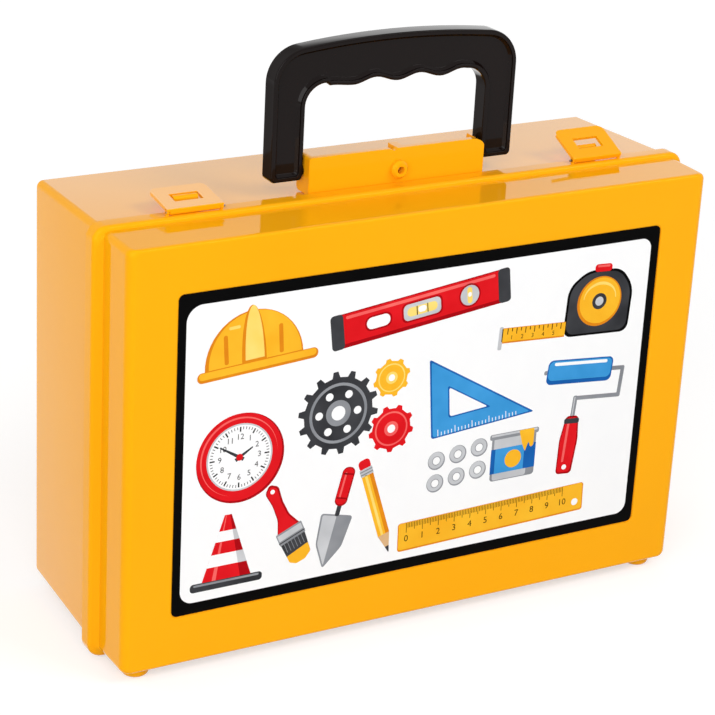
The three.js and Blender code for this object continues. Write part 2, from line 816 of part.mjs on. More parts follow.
// The whole case, moved so that its middle stands over the origin
const toyCase = new THREE.Group();
toyCase.name = "toy_tool_case";
toyCase.position.y = -caseDepth / 2;
toyCase.add(
  meshOf("base_shell", baseShell(), shellYellow),
  meshOf("lid_shell", lidShell(), shellYellow.clone()),
  meshOf("label_sheet", printedSheet(), sheetWhite),
  meshOf("handle", grip(), gripBlack),
  meshOf("handle_bracket", bracket(), shellYellow.clone()),
  meshOf("bracket_screw", bracketScrew(), steel),
  placeLatch("latch_left", latchCentres[0], leftLatchOpen),
  placeLatch("latch_right", latchCentres[1], rightLatchOpen),
  meshOf("latch_pin_left", latchPin(latchCentres[0]), steel.clone()),
  meshOf("latch_pin_right", latchPin(latchCentres[1]), steel.clone()),
  meshOf("hinge_pin_left", hingePin(hingeCentres[0]), steel.clone()),
  meshOf("hinge_pin_right", hingePin(hingeCentres[1]), steel.clone()),
);
toyCase.updateMatrixWorld(true);

export default toyCase;
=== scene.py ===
# A toy carrying case for play tools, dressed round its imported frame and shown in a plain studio.
import math

import bmesh
import bpy
from mathutils import Matrix, Vector


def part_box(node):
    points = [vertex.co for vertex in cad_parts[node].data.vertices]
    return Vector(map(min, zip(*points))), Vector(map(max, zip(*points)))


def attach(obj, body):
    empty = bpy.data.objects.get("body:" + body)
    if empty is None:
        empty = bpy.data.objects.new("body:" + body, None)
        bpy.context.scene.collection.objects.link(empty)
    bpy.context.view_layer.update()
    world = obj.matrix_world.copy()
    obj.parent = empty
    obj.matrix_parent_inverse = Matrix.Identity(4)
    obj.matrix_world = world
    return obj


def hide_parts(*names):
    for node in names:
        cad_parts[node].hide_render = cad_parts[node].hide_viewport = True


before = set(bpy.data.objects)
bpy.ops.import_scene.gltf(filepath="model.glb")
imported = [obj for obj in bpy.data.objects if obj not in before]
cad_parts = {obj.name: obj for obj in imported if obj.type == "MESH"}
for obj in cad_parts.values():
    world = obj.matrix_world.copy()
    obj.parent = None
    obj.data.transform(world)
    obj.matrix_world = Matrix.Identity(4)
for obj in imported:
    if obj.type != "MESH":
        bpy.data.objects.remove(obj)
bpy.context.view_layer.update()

MM = 0.001

# Camera, fitted to the photograph's 715 x 715 frame: degrees and metres, the lens in millimetres
CAMERA_AZIMUTH = -30.257
CAMERA_ELEVATION = 22.381
CAMERA_ROLL = 3.139
CAMERA_DISTANCE = 1.243
CAMERA_TARGET = Vector((-0.0110, -0.0087, 0.1306))
CAMERA_LENS = 123.4
CAMERA_SENSOR = 36

# Rounding and shading of the moulded pieces
MERGE_DISTANCE = 0.002 * MM
FLAT_ANGLE = math.radians(0.4)
SMOOTH_ANGLE = math.radians(32)
SHARP_ANGLE = math.radians(34)
EDGE_SEGMENTS = 2
NORMAL_WEIGHT = 80
SHELL_EDGE = 0.25 * MM
GRIP_EDGE = 0.30 * MM
BRACKET_EDGE = 0.30 * MM
LATCH_EDGE = 0.25 * MM
SCREW_EDGE = 0.10 * MM
LATCH_PIN_EDGE = 0.12 * MM
HINGE_PIN_EDGE = 0.20 * MM

# The bars that stand in the latches' windows, in millimetres from the latch pin
CATCH_BAR_FRONT = 9.1
CATCH_BAR_DEPTH = 3.8
CATCH_BAR_WIDTH = 12.8
CATCH_BAR_ROOT = 4.3
CATCH_BAR_RISE = 3.8
CATCH_BAR_ROUNDING = 0.48 * CATCH_BAR_DEPTH
CATCH_BAR_SEGMENTS = 6

# The printed sheet: its plane, the heights of the inks in front of it and their reach into it
sheet_low, sheet_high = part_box("label_sheet")
SHEET_MIDDLE = Vector(((sheet_low.x + sheet_high.x) / 2, sheet_low.y, (sheet_low.z + sheet_high.z) / 2))
SHEET_PLANE = Matrix.Translation(SHEET_MIDDLE) @ Matrix.Rotation(math.pi / 2, 4, "X")
PANEL_HEIGHT = 0.05 * MM
INK_LAYER = 0.012 * MM
INK_ROOT = 0.02 * MM

# The white field's margins on the sheet and the radii of its corners, in millimetres
PANEL_LEFT = 4.2
PANEL_RIGHT = 4.8
PANEL_TOP = 6.1
PANEL_BOTTOM = 5.9
PANEL_CORNERS = {"bottom_left": 7.0, "bottom_right": 6.0, "top_right": 5.7, "top_left": 8.6}

# How finely the print's curves are drawn
DISC_SIDES = 48
LARGE_DISC_SIDES = 64
SMALL_DISC_SIDES = 24
CORNER_SEGMENTS = 5
PANEL_CORNER_SEGMENTS = 10
NUMERAL_SEGMENTS = 3
NUMERAL_MERGE_DISTANCE = 0.001 * MM

# Finishes
WHITE = (1, 1, 1, 1)
YELLOW = (0.98, 0.43, 0.005, 1)
YELLOW_SWIRL = (0.965, 0.41, 0.0045, 1)
SHEEN = (1.0, 0.6, 0.12, 1)
PLASTIC_RIPPLE_DEPTH = 0.06 * MM
INK_GRAIN_DEPTH = 0.01 * MM
STEEL_LINE_DEPTH = 0.02 * MM
COAT_ROUGHNESS = 0.03
FRONT_GLOSS_FADE = (0.42, 0.6)

# The values between which nearly all of a noise lies
NOISE_RANGE = (0.3, 0.7)

# Sockets of a Mix node that blends colours
MIX_FIRST = 6
MIX_SECOND = 7
MIX_RESULT = 2

# Studio, with its sizes in metres
FLOOR_SIZE = 8.0
FLOOR_COLOUR = (0.56, 0.56, 0.56, 1)
FLOOR_GLOW = 0.56
FAR_FLOOR_GLOW = 0.7
FLOOR_FADE = (0.4, 1.8)
WORLD_LEVEL = 0.45
SOFTBOX_DISTANCE = 2.4


# Node helpers
def link(tree, source, target):
    tree.links.new(source, target)


def add_node(tree, kind, **values):
    """A node with its settings and socket values, where _ in a socket's name stands for a space."""
    node = tree.nodes.new(kind)
    for name, value in values.items():
        if hasattr(node, name):
            setattr(node, name, value)
        else:
            node.inputs[name.replace("_", " ")].default_value = value
    return node


def new_group(name, inputs, outputs):
    """A shader group with named sockets, and the nodes at its two ends."""
    group = bpy.data.node_groups.new(name, "ShaderNodeTree")
    for in_out, sockets in (("INPUT", inputs), ("OUTPUT", outputs)):
        for label, kind in sockets.items():
            group.interface.new_socket(label, in_out=in_out, socket_type="NodeSocket" + kind)
    return group, group.nodes.new("NodeGroupInput"), group.nodes.new("NodeGroupOutput")


def noise(tree, place, scale, detail, roughness=0.5):
    node = add_node(tree, "ShaderNodeTexNoise", Scale=scale, Detail=detail, Roughness=roughness)
    link(tree, place, node.inputs["Vector"])
    return node.outputs["Fac"]


def math_node(tree, operation, first, second):
    node = add_node(tree, "ShaderNodeMath", operation=operation)
    link(tree, first, node.inputs[0])
    link(tree, second, node.inputs[1])
    return node.outputs["Value"]


def map_range(tree, value, source, target, smooth=False):
    """Maps a value from one range onto another and holds it at the ends."""
    node = add_node(
        tree, "ShaderNodeMapRange", interpolation_type="SMOOTHSTEP" if smooth else "LINEAR",
        From_Min=source[0], From_Max=source[1], To_Min=target[0], To_Max=target[1],
    )
    link(tree, value, node.inputs["Value"])
    return node.outputs["Result"]


def spread(tree, value):
    """Stretches a noise from zero to one."""
    return map_range(tree, value, NOISE_RANGE, (0.0, 1.0))


def blend_colours(tree, factor, first, second):
    node = add_node(tree, "ShaderNodeMix", data_type="RGBA")
    link(tree, factor, node.inputs["Factor"])
    link(tree, first, node.inputs[MIX_FIRST])
    link(tree, second, node.inputs[MIX_SECOND])
    return node.outputs[MIX_RESULT]


# Surfaces that several materials share
def make_moulded_surface():
    """Slow swirls of tone, faint handling marks and the ripple that a polished mould leaves."""
    group, start, end = new_group(
        "moulded_surface",
        {"Colour": "Color", "Swirl Colour": "Color", "Gloss": "Float", "Handling": "Float",
         "Ripple Size": "Float"},
        {"Colour": "Color", "Roughness": "Float", "Height": "Float"},
    )
    place = group.nodes.new("ShaderNodeTexCoord").outputs["Object"]
    swirl = spread(group, noise(group, place, scale=9.0, detail=3.0))
    colour = blend_colours(group, swirl, start.outputs["Colour"], start.outputs["Swirl Colour"])
    link(group, colour, end.inputs["Colour"])
    stretch = add_node(
        group, "ShaderNodeMapping", Scale=(40.0, 300.0, 260.0), Rotation=(0.3, 0.5, 0.2),
    )
    link(group, place, stretch.inputs["Vector"])
    rubbed = spread(group, noise(group, stretch.outputs["Vector"], scale=1.0, detail=4.0, roughness=0.65))
    patches = spread(group, noise(group, place, scale=22.0, detail=2.0))
    marks = math_node(group, "MULTIPLY", rubbed, patches)
    handled = math_node(group, "MULTIPLY", marks, start.outputs["Handling"])
    link(group, math_node(group, "ADD", handled, start.outputs["Gloss"]), end.inputs["Roughness"])
    ripple = add_node(group, "ShaderNodeTexNoise", Detail=1.0)
    link(group, place, ripple.inputs["Vector"])
    link(group, start.outputs["Ripple Size"], ripple.inputs["Scale"])
    link(group, ripple.outputs["Fac"], end.inputs["Height"])
    return group


def make_print_tone():
    """Ink that is a little uneven, as process printing is, with a fine grain."""
    group, start, end = new_group(
        "print_tone",
        {"Ink": "Color", "Shade": "Color"},
        {"Colour": "Color", "Height": "Float"},
    )
    place = group.nodes.new("ShaderNodeTexCoord").outputs["Object"]
    shade = spread(group, noise(group, place, scale=60.0, detail=2.0))
    colour = blend_colours(group, shade, start.outputs["Ink"], start.outputs["Shade"])
    link(group, colour, end.inputs["Colour"])
    link(group, noise(group, place, scale=900.0, detail=2.0), end.inputs["Height"])
    return group


moulded_surface = make_moulded_surface()
print_tone = make_print_tone()


# Materials
def new_material(name):
    """A material with an empty tree, and the output that its shader goes to."""
    material = bpy.data.materials.new(name)
    material.use_nodes = True
    tree = material.node_tree
    tree.nodes.clear()
    return material, tree, tree.nodes.new("ShaderNodeOutputMaterial").inputs["Surface"]


def new_finish(name, group, bump_depth, bump_strength, **values):
    """A material whose colour, bump and any roughness come from a shared surface."""
    material, tree, output = new_material(name)
    shader = tree.nodes.new("ShaderNodeBsdfPrincipled")
    link(tree, shader.outputs["BSDF"], output)
    surface = add_node(tree, "ShaderNodeGroup", node_tree=group, **values)
    link(tree, surface.outputs["Colour"], shader.inputs["Base Color"])
    if "Roughness" in surface.outputs:
        link(tree, surface.outputs["Roughness"], shader.inputs["Roughness"])
    bump = add_node(tree, "ShaderNodeBump", Strength=bump_strength, Distance=bump_depth)
    link(tree, surface.outputs["Height"], bump.inputs["Height"])
    link(tree, bump.outputs["Normal"], shader.inputs["Normal"])
    return material, tree, shader


def moulded_plastic(name, colour, swirl, gloss, handling, grazing, density,
                    tint=WHITE, coat_density=1.5, ripple=50.0, front_gloss=0.0):
    """Glossy moulded plastic, with a mirror-like gloss at low angles and any that it has from in front."""
    material, tree, shader = new_finish(
        name, moulded_surface, bump_depth=PLASTIC_RIPPLE_DEPTH, bump_strength=0.25,
        Colour=colour, Swirl_Colour=swirl, Gloss=gloss, Handling=handling, Ripple_Size=ripple,
    )
    facing = add_node(tree, "ShaderNodeLayerWeight", Blend=0.5).outputs["Facing"]
    coat = map_range(tree, facing, grazing, (0.0, 1.0), smooth=True)
    if front_gloss:
        from_front = map_range(tree, facing, FRONT_GLOSS_FADE, (front_gloss, 0.0), smooth=True)
        coat = math_node(tree, "ADD", coat, from_front)
    link(tree, coat, shader.inputs["Coat Weight"])
    shader.inputs["Coat Roughness"].default_value = COAT_ROUGHNESS
    shader.inputs["Coat IOR"].default_value = coat_density
    shader.inputs["IOR"].default_value = density
    shader.inputs["Specular Tint"].default_value = tint
    return material


def printed_ink(name, ink, shade):
    """Ink under a clear laminate."""
    material, tree, shader = new_finish(
        name, print_tone, bump_depth=INK_GRAIN_DEPTH, bump_strength=0.1, Ink=ink, Shade=shade,
    )
    shader.inputs["Roughness"].default_value = 0.3
    shader.inputs["IOR"].default_value = 1.08
    return material


def plated_steel(name, colour, dull):
    """Plated wire or screw, with the fine lines that drawing leaves along it."""
    material, tree, shader = new_finish(
        name, moulded_surface, bump_depth=STEEL_LINE_DEPTH, bump_strength=0.4,
        Colour=colour, Swirl_Colour=dull, Gloss=0.22, Handling=0.25, Ripple_Size=700.0,
    )
    shader.inputs["Metallic"].default_value = 1.0
    return material


shell_yellow = moulded_plastic(
    "shell_yellow", YELLOW, YELLOW_SWIRL, gloss=0.05, handling=0.05,
    grazing=(0.65, 0.725), density=1.25, tint=SHEEN,
)
flap_yellow = moulded_plastic(
    "flap_yellow", YELLOW, YELLOW_SWIRL, gloss=0.05, handling=0.05,
    grazing=(0.42, 0.56), density=1.25, tint=SHEEN, coat_density=2.4,
)
grip_black = moulded_plastic(
    "grip_black", (0.0045, 0.0022, 0.0018, 1), (0.008, 0.0045, 0.004, 1), gloss=0.09, handling=0.08,
    grazing=(0.655, 0.72), density=1.08, ripple=70.0, front_gloss=0.22,
)
# Plated steel for the pins, darker than the steel's own colour: partly painted shade on the pin ends
pin_steel_darkened_as_shade = plated_steel("pin_steel_darkened_as_shade", (0.26, 0.25, 0.24, 1), (0.18, 0.17, 0.16, 1))
screw_gold = plated_steel("screw_gold", (0.75, 0.48, 0.16, 1), (0.55, 0.34, 0.10, 1))

# Each ink and the shade that it drifts to
INKS = {
    "white": ((0.93, 0.93, 0.93, 1), (0.915, 0.915, 0.92, 1)),
    "black": ((0.0016, 0.0016, 0.0016, 1), (0.0024, 0.0024, 0.0024, 1)),
    "charcoal": ((0.030, 0.031, 0.035, 1), (0.055, 0.056, 0.062, 1)),
    "grey": ((0.30, 0.31, 0.33, 1), (0.22, 0.23, 0.25, 1)),
    "silver": ((0.60, 0.61, 0.63, 1), (0.48, 0.49, 0.51, 1)),
    "red": ((0.76, 0.012, 0.018, 1), (0.66, 0.008, 0.012, 1)),
    "deep_red": ((0.42, 0.004, 0.008, 1), (0.34, 0.003, 0.006, 1)),
    "rose": ((0.90, 0.16, 0.14, 1), (0.84, 0.10, 0.10, 1)),
    "yellow": ((0.93, 0.50, 0.03, 1), (0.90, 0.43, 0.02, 1)),
    "amber": ((0.78, 0.27, 0.01, 1), (0.68, 0.21, 0.01, 1)),
    "lemon": ((0.95, 0.72, 0.20, 1), (0.93, 0.64, 0.12, 1)),
    "blue": ((0.012, 0.13, 0.45, 1), (0.010, 0.10, 0.36, 1)),
    "sky": ((0.06, 0.34, 0.72, 1), (0.04, 0.28, 0.62, 1)),
    "wood": ((0.75, 0.50, 0.28, 1), (0.68, 0.42, 0.21, 1)),
}
ink_materials = {name: printed_ink("ink_" + name, *tones) for name, tones in INKS.items()}


# Moulded pieces
def add_object(name, data):
    """An object at the origin, in the scene."""
    item = bpy.data.objects.new(name, data)
    bpy.context.scene.collection.objects.link(item)
    return item


def add_piece(name, mesh, material, body):
    """A piece of the case in one material, on the body that carries it."""
    piece = add_object(name, mesh)
    mesh.materials.clear()
    mesh.materials.append(material)
    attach(piece, body)
    return piece


def fill_mesh(mesh, shape):
    """Puts a finished shape in a mesh."""
    shape.to_mesh(mesh)
    shape.free()
    return mesh


def fill_smooth_mesh(mesh, shape):
    """Puts a finished shape in a mesh, shaded smoothly except where it turns sharply."""
    for face in shape.faces:
        face.smooth = True
    fill_mesh(mesh, shape)
    mesh.set_sharp_from_angle(angle=SMOOTH_ANGLE)


def dress(node, name, body, material, edge):
    """A merged, smoothly shaded copy of a frame node, with its sharp edges broken."""
    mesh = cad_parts[node].data.copy()
    mesh.name = name
    shape = bmesh.new()
    shape.from_mesh(mesh)
    bmesh.ops.remove_doubles(shape, verts=shape.verts, dist=MERGE_DISTANCE)
    bmesh.ops.dissolve_limit(shape, angle_limit=FLAT_ANGLE, verts=shape.verts, edges=shape.edges)
    fill_smooth_mesh(mesh, shape)
    piece = add_piece(name, mesh, material, body)
    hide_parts(node)
    rounding = piece.modifiers.new("broken_edges", "BEVEL")
    rounding.width = edge
    rounding.segments = EDGE_SEGMENTS
    rounding.limit_method = "ANGLE"
    rounding.angle_limit = SHARP_ANGLE
    rounding.harden_normals = False
    rounding.use_clamp_overlap = True
    rounding.miter_outer = "MITER_ARC"
    shading = piece.modifiers.new("even_shading", "WEIGHTED_NORMAL")
    shading.keep_sharp = True
    shading.weight = NORMAL_WEIGHT


def catch_bar(side):
    """The rounded bar on a catch that stands in the latch's window."""
    pin_low, pin_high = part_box("latch_pin_" + side)
    plate_low, plate_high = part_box("latch_" + side)
    pivot = (pin_low + pin_high) / 2
    low = pivot.z - CATCH_BAR_ROOT * MM
    high = pivot.z + CATCH_BAR_RISE * MM
    middle = Vector((
        (plate_low.x + plate_high.x) / 2,
        pivot.y + (CATCH_BAR_FRONT + CATCH_BAR_DEPTH / 2) * MM,
        (low + high) / 2,
    ))
    shape = bmesh.new()
    bmesh.ops.create_cube(shape, size=1.0)
    bmesh.ops.scale(shape, verts=shape.verts, vec=(CATCH_BAR_WIDTH * MM, CATCH_BAR_DEPTH * MM, high - low))
    bmesh.ops.translate(shape, verts=shape.verts, vec=middle)
    long_top_edges = [
        edge for edge in shape.edges
        if all(vertex.co.z > middle.z for vertex in edge.verts)
        and abs(edge.verts[0].co.x - edge.verts[1].co.x) > CATCH_BAR_DEPTH * MM
    ]
    bmesh.ops.bevel(
        shape, geom=long_top_edges, offset=CATCH_BAR_ROUNDING * MM, offset_type="OFFSET",
        segments=CATCH_BAR_SEGMENTS, profile=0.5, affect="EDGES", material=-1,
    )
    name = "catch_bar_" + side
    mesh = bpy.data.meshes.new(name)
    fill_smooth_mesh(mesh, shape)
    add_piece(name, mesh, shell_yellow, "base")


dress("base_shell", "rear_shell", "base", shell_yellow, SHELL_EDGE)
dress("lid_shell", "front_shell", "lid", shell_yellow, SHELL_EDGE)
dress("handle", "grip", "handle", grip_black, GRIP_EDGE)
dress("handle_bracket", "grip_bracket", "base", shell_yellow, BRACKET_EDGE)
dress("latch_left", "flap_left", "latch_left", flap_yellow, LATCH_EDGE)
dress("latch_right", "flap_right", "latch_right", flap_yellow, LATCH_EDGE)
dress("bracket_screw", "cross_screw", "base", screw_gold, SCREW_EDGE)
for side in ("left", "right"):
    dress("latch_pin_" + side, "flap_pin_" + side, "lid", pin_steel_darkened_as_shade, LATCH_PIN_EDGE)
    dress("hinge_pin_" + side, "bottom_pin_" + side, "base", pin_steel_darkened_as_shade, HINGE_PIN_EDGE)
for side in ("left", "right"):
    catch_bar(side)

# The sheet itself is black and shows as the border round the white field
sheet_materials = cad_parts["label_sheet"].data.materials
for index in range(len(sheet_materials)):
    sheet_materials[index] = ink_materials["black"]


# Flat shapes for the print, in millimetres: sizes first, then the place, then any rounding
def round_corners(shape, corners, radius, segments):
    bmesh.ops.bevel(
        shape, geom=corners, offset=radius * MM, offset_type="OFFSET", segments=segments,
        profile=0.5, affect="VERTICES", material=-1,
    )


def on_sheet(point):
    """A point on the sheet's plane, from millimetres to metres."""
    x, y = point
    return Vector((x * MM, y * MM, 0))


def polygon(points, rounding=0.0):
    shape = bmesh.new()
    shape.faces.new([shape.verts.new(on_sheet(point)) for point in points])
    if rounding:
        round_corners(shape, shape.verts[:], rounding, CORNER_SEGMENTS)
    return shape


def slab(width, height, at=(0, 0), rounding=0.0):
    """A bar or field, round its middle."""
    x, y = at
    right = width / 2
    top = height / 2
    corners = [(x - right, y - top), (x + right, y - top), (x + right, y + top), (x - right, y + top)]
    return polygon(corners, rounding)


def disc(radius, at=(0, 0), sides=DISC_SIDES):
    shape = bmesh.new()
    bmesh.ops.create_circle(
        shape, cap_ends=True, segments=sides, radius=radius * MM,
        matrix=Matrix.Translation(on_sheet(at)),
    )
    return shape


def dome(width, height, at=(0, 0)):
    """The upper half of an ellipse, on the middle of its foot."""
    shape = disc(1.0)
    bmesh.ops.bisect_plane(
        shape, geom=shape.verts[:] + shape.edges[:] + shape.faces[:],
        plane_co=(0, 0, 0), plane_no=(0, 1, 0), clear_inner=True,
    )
    bmesh.ops.scale(shape, verts=shape.verts, vec=(width / 2, height, 1))
    bmesh.ops.translate(shape, verts=shape.verts, vec=on_sheet(at))
    return shape


def gear(radius, teeth, reach, tip_share=0.62):
    """A disc with every other edge drawn out into a tooth, whose tip is a share of its root's width."""
    shape = bmesh.new()
    ring = bmesh.ops.create_circle(
        shape, cap_ends=True, segments=2 * teeth, radius=radius * MM,
    )["verts"]
    root_pairs = [{2 * tooth, 2 * tooth + 1} for tooth in range(teeth)]
    roots = [edge for edge in shape.edges if {ring.index(vertex) for vertex in edge.verts} in root_pairs]
    drawn = bmesh.ops.extrude_edge_only(shape, edges=roots)["geom"]
    tips = [item for item in drawn if isinstance(item, bmesh.types.BMVert)]
    tip_edges = [item for item in drawn if isinstance(item, bmesh.types.BMEdge)
                 and all(vertex in tips for vertex in item.verts)]
    for edge in tip_edges:
        middle = (edge.verts[0].co + edge.verts[1].co) / 2
        outward = middle.normalized() * reach * MM
        for vertex in edge.verts:
            vertex.co = middle + (vertex.co - middle) * tip_share + outward
    return shape


def numeral(number, size, at):
    """A plain number, centred."""
    curve = bpy.data.curves.new("numeral", "FONT")
    curve.body = str(number)
    curve.size = size * MM
    curve.align_x = "CENTER"
    curve.align_y = "CENTER"
    curve.resolution_u = NUMERAL_SEGMENTS
    holder = add_object("numeral", curve)
    bpy.context.view_layer.update()
    evaluated = holder.evaluated_get(bpy.context.evaluated_depsgraph_get())
    mesh = bpy.data.meshes.new_from_object(evaluated)
    shape = bmesh.new()
    shape.from_mesh(mesh)
    bmesh.ops.remove_doubles(shape, verts=shape.verts, dist=NUMERAL_MERGE_DISTANCE)
    bmesh.ops.translate(shape, verts=shape.verts, vec=on_sheet(at))
    bpy.data.objects.remove(holder)
    bpy.data.curves.remove(curve)
    bpy.data.meshes.remove(mesh)
    return shape


# Laying the shapes on the sheet
ink_shapes = {name: bmesh.new() for name in INKS}


def press(ink, level, shape, seat):
    """Gives a flat shape its thickness and lays it on the sheet, at a level over other inks."""
    rise = PANEL_HEIGHT + level * INK_LAYER
    bmesh.ops.reverse_faces(shape, faces=[face for face in shape.faces if face.normal.z > 0])
    grown = bmesh.ops.extrude_face_region(shape, geom=shape.faces[:])["geom"]
    front = [item for item in grown if isinstance(item, bmesh.types.BMVert)]
    bmesh.ops.translate(shape, verts=front, vec=(0, 0, rise + INK_ROOT))
    bmesh.ops.translate(shape, verts=shape.verts, vec=(0, 0, -INK_ROOT))
    bmesh.ops.transform(shape, verts=shape.verts, matrix=SHEET_PLANE @ seat)
    bmesh.ops.recalc_face_normals(shape, faces=shape.faces)
    mesh = fill_mesh(bpy.data.meshes.new("pressed"), shape)
    ink_shapes[ink].from_mesh(mesh)
    bpy.data.meshes.remove(mesh)


def press_all(seat, layers):
    """Presses each layer of a motif: its ink, its level and its shape."""
    for ink, level, shape in layers:
        press(ink, level, shape, seat)


def turned(degrees):
    """A turn in the sheet's plane."""
    return Matrix.Rotation(math.radians(degrees), 4, "Z")


def seat_at(x, y, turn=0.0, scale=1.0):
    """Where a motif stands on the sheet: millimetres from its middle, degrees and size."""
    flat_scale = Matrix.Diagonal((scale, scale, 1, 1))
    return Matrix.Translation(on_sheet((x, y))) @ turned(turn) @ flat_scale


def around(reach, degrees):
    """A point at a distance from the middle, with the angle counted from the right."""
    angle = math.radians(degrees)
    return reach * math.cos(angle), reach * math.sin(angle)


def press_marks(seat, ink, level, width, lengths, first, pitch, foot, upward=False):
    """A row of fine upright marks that start at one height, at a pitch from the first."""
    way = 1 if upward else -1
    for step, length in enumerate(lengths):
        press(ink, level, slab(width, length, at=(first + step * pitch, foot + way * length / 2)), seat)


def press_numbers(seat, level, size, numbers, first, pitch, y):
    """A row of plain numbers for a scale, at a pitch from the first."""
    for step, number in enumerate(numbers):
        press("black", level, numeral(number, size, at=(first + step * pitch, y)), seat)


# The white field and the motifs, each from its lowest ink up
def white_panel():
    """The white field, with its own rounded corners."""
    right = (sheet_high.x - sheet_low.x) / 2 / MM
    top = (sheet_high.z - sheet_low.z) / 2 / MM
    shape = polygon([
        (PANEL_LEFT - right, PANEL_BOTTOM - top), (right - PANEL_RIGHT, PANEL_BOTTOM - top),
        (right - PANEL_RIGHT, top - PANEL_TOP), (PANEL_LEFT - right, top - PANEL_TOP),
    ])
    for corner, radius in zip(shape.verts[:], PANEL_CORNERS.values()):
        round_corners(shape, [corner], radius, PANEL_CORNER_SEGMENTS)
    press("white", 0, shape, seat_at(0, 0))


def hard_hat(seat):
    """A hard hat from the side, with a ridge over its crown."""
    press_all(seat, [
        ("amber", 1, dome(52, 27, at=(0, -2))),
        ("yellow", 2, dome(49, 25.5, at=(0.6, -1))),
        ("amber", 3, dome(13, 28.6, at=(0, -1))),
        ("lemon", 4, dome(10, 27.4, at=(0.4, 0))),
        ("amber", 3, slab(2.2, 15, at=(-14.5, 7.5), rounding=1)),
        ("amber", 3, slab(2.2, 15, at=(14.5, 7.5), rounding=1)),
        ("lemon", 4, slab(6, 1.6, at=(-9.6, 18), rounding=0.7)),
        ("amber", 5, slab(64, 5.4, at=(2, -4), rounding=2.6)),
        ("yellow", 6, slab(62, 3.6, at=(2, -3.4), rounding=1.7)),
    ])


def spirit_level(seat):
    """A spirit level with a long vial, an upright vial and a hand hole."""
    press_all(seat, [
        ("deep_red", 1, slab(100, 18, rounding=2.4)),
        ("red", 2, slab(99, 15.4, at=(0, 0.8), rounding=2)),
        ("rose", 3, slab(84, 1.6, at=(0, 6.6), rounding=0.7)),
        ("charcoal", 3, slab(7, 18.4, at=(-47, 0), rounding=2)),
        ("charcoal", 3, slab(7, 18.4, at=(47, 0), rounding=2)),
        ("deep_red", 3, slab(23, 10.4, rounding=3)),
        ("silver", 4, slab(21, 8.6, rounding=2.6)),
        ("lemon", 5, slab(17, 4.8, rounding=2.3)),
        ("white", 6, slab(4.6, 3.2, at=(0, 0.2), rounding=1.5)),
        ("black", 7, slab(0.5, 4.8, at=(-3, 0))),
        ("black", 7, slab(0.5, 4.8, at=(3, 0))),
        ("deep_red", 3, slab(15, 8, at=(-24.5, 0), rounding=3.6)),
        ("white", 4, slab(13, 6.2, at=(-24.5, 0), rounding=3)),
        ("deep_red", 3, disc(6.2, at=(27, 0))),
        ("silver", 4, disc(5.3, at=(27, 0))),
        ("lemon", 5, slab(2.8, 8.6, at=(27, 0), rounding=1.3)),
        ("white", 6, slab(2.0, 2.4, at=(27, 0.4), rounding=0.9)),
    ])


def tape_measure(seat):
    """A tape measure with its blade drawn out to the left."""
    case = [(-21, -18), (21, -18), (21, 8), (12, 19), (-10, 19), (-21, 10)]
    side_share = 0.93
    side = [(x * side_share, y * side_share) for x, y in case]
    press_all(seat, [
        ("black", 1, polygon(case, rounding=5)),
        ("charcoal", 2, polygon(side, rounding=5)),
        ("amber", 3, disc(14.2, at=(0, 1))),
        ("yellow", 4, disc(13, at=(0.3, 1.4))),
        ("lemon", 5, dome(21, 9.5, at=(0, 2.6))),
        ("yellow", 6, dome(20, 7.8, at=(0, 2.6))),
        ("charcoal", 7, disc(4.6, at=(0, 1))),
        ("silver", 8, disc(2.6, at=(0, 1))),
        ("red", 2, slab(11, 4.4, at=(0, 20), rounding=1.8)),
        ("rose", 3, slab(8, 1.2, at=(0, 21), rounding=0.5)),
        ("amber", 2, slab(40, 8.6, at=(-40, -13.2))),
        ("yellow", 3, slab(40, 7.4, at=(-40, -12.9))),
        ("silver", 3, slab(2.4, 13, at=(-60.6, -14.6), rounding=0.8)),
    ])
    lengths = [3.4 if step % 2 == 0 else 1.9 for step in range(13)]
    press_marks(seat, "black", 4, 0.5, lengths, first=-56.5, pitch=2.8, foot=-9.2)
    press_numbers(seat, 4, 3.4, range(1, 6), first=-53.7, pitch=6.6, y=-14.6)


def dial(seat):
    """A round dial with plain numbers and two hands."""
    press_all(seat, [
        ("deep_red", 1, disc(23.5, at=(0.5, -0.6), sides=LARGE_DISC_SIDES)),
        ("red", 2, disc(22.9, sides=LARGE_DISC_SIDES)),
        ("rose", 3, disc(20.6, at=(-0.3, 0.4), sides=LARGE_DISC_SIDES)),
        ("red", 4, disc(20.2, at=(0.1, -0.1), sides=LARGE_DISC_SIDES)),
        ("silver", 5, disc(17.6, sides=LARGE_DISC_SIDES)),
        ("white", 6, disc(16.8, sides=LARGE_DISC_SIDES)),
    ])
    marks = 60
    for step in range(marks):
        width, length, reach = (0.75, 2.6, 14.6) if step % 5 == 0 else (0.35, 1.4, 15.2)
        press("black", 7, slab(width, length, at=(0, reach)), seat @ turned(step * 360 / marks))
    numbers = 12
    number_reach = 10.6
    for number in range(1, numbers + 1):
        place = around(number_reach, 90 - number * 360 / numbers)
        press("black", 7, numeral(number, 4.2, at=place), seat)
    for length, turn in ((8.2, -58), (12.6, 58)):
        hand = polygon([(-1.0, -2.6), (1.0, -2.6), (0.35, length), (-0.35, length)], rounding=0.3)
        press("charcoal", 8, hand, seat @ turned(turn))
    press("red", 9, disc(1.8), seat)


def toothed_wheel(seat, radius, teeth, body, face, holes=0):
    """A toothed wheel, with the sizes of its rings and holes as shares of its radius."""
    press_all(seat, [
        (body, 1, gear(radius, teeth, radius * 0.17)),
        (face, 2, disc(radius * 0.84)),
        (body, 3, disc(radius * 0.76)),
        (face, 4, disc(radius * 0.36)),
        ("white", 5, disc(radius * 0.2)),
    ])
    for step in range(holes):
        place = around(radius * 0.56, step * 360 / holes)
        press("white", 4, disc(radius * 0.11, at=place, sides=SMALL_DISC_SIDES), seat)


